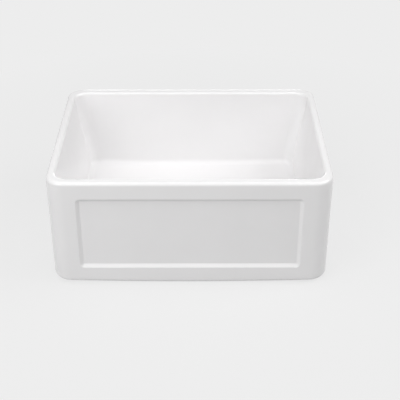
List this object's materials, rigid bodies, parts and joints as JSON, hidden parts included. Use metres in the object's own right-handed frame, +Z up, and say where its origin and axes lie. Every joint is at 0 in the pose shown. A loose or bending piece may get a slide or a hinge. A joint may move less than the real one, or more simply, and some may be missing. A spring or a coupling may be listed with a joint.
{
  "type": "apron front kitchen sink",
  "caption": "White fireclay farmhouse sink with a recessed apron panel, a deep basin and a basket strainer with a lift-out stopper basket.",
  "frame": {"origin": "middle of the flat ground foot that the sink rests on", "axes": "+X to the right seen from the front, +Y from the apron to the back, +Z up"},
  "size_m": [0.6, 0.457, 0.3849],
  "materials": {
    "fireclay_glaze": "white gloss glaze over fireclay, with a ground unglazed foot",
    "strainer_steel": "satin spun stainless steel",
    "basket_steel": "pressed and polished stainless steel",
    "zinc_plate": "dull plated die casting",
    "chromed_tube": "bright chrome plate over tube",
    "black_rubber": "moulded black rubber",
    "grey_rubber": "soft grey sealing rubber",
    "fibre_board": "pressed brown fibre",
    "white_nylon": "natural moulded plastic"
  },
  "bodies": {
    "sink": {"sink_body": "fireclay_glaze", "flange_seal": "grey_rubber", "strainer_body": "strainer_steel", "cross_bar": "strainer_steel", "sink_gasket": "black_rubber", "friction_washer": "fibre_board", "locknut": "zinc_plate", "tailpiece_washer": "white_nylon", "coupling_nut": "chromed_tube", "tailpiece": "chromed_tube"},
    "stopper": {"basket_post": "basket_steel", "basket_knob": "basket_steel", "stopper_plate": "basket_steel", "stopper_disc": "black_rubber", "stopper_nut": "basket_steel", "post_clip": "basket_steel"},
    "basket": {"basket_cup": "basket_steel"}
  },
  "joints": [
    {"name": "stopper_lift", "type": "slide", "parent": "sink", "child": "stopper", "axis": [0, 0, 1], "range_m": [0, 0.08]},
    {"name": "basket_turn", "type": "hinge", "parent": "stopper", "child": "basket", "pos_m": [0, 0.03, 0.0155], "axis": [0, 0, 1], "continuous": true}
  ]
}
